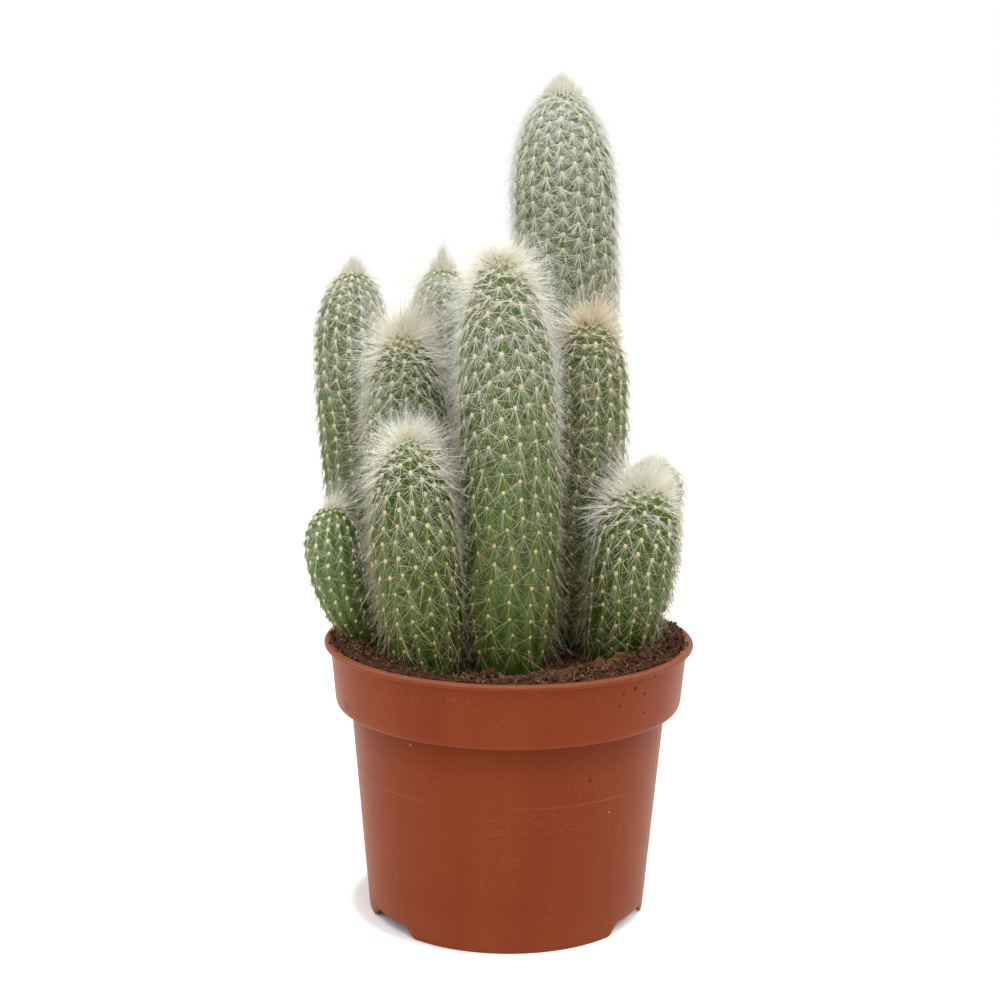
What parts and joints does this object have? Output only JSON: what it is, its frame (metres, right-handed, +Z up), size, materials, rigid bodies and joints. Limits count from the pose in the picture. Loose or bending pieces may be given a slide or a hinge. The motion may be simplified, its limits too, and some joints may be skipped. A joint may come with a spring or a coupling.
{
  "type": "potted silver torch cactus",
  "caption": "Upright columnar cactus stems with fine ribs, woolly areoles and white bristles, planted in peat in a round plastic nursery pot with a stepped rim and a notched foot.",
  "frame": {"origin": "on the surface the pot stands on, under the middle of the whole plant's box; the pot's own axis stands 5.2 mm to +X and 1.6 mm to -Y of it", "axes": "+Z up along the pot's axis, -Y towards the side the plant is looked at from, +X to the right in that view"},
  "size_m": [0.1401, 0.123, 0.2714],
  "materials": {
    "pot_plastic": "satin",
    "peat": "matte",
    "cactus_skin": "matte"
  },
  "bodies": {
    "root": {"pot": "pot_plastic", "soil": "peat", "stem_tall": "cactus_skin", "stem_front": "cactus_skin", "stem_right": "cactus_skin", "stem_left": "cactus_skin", "stem_middle_left": "cactus_skin", "stem_back": "cactus_skin", "stem_front_left": "cactus_skin", "stem_far_left": "cactus_skin", "stem_front_right": "cactus_skin", "stem_back_right": "cactus_skin"}
  },
  "joints": []
}
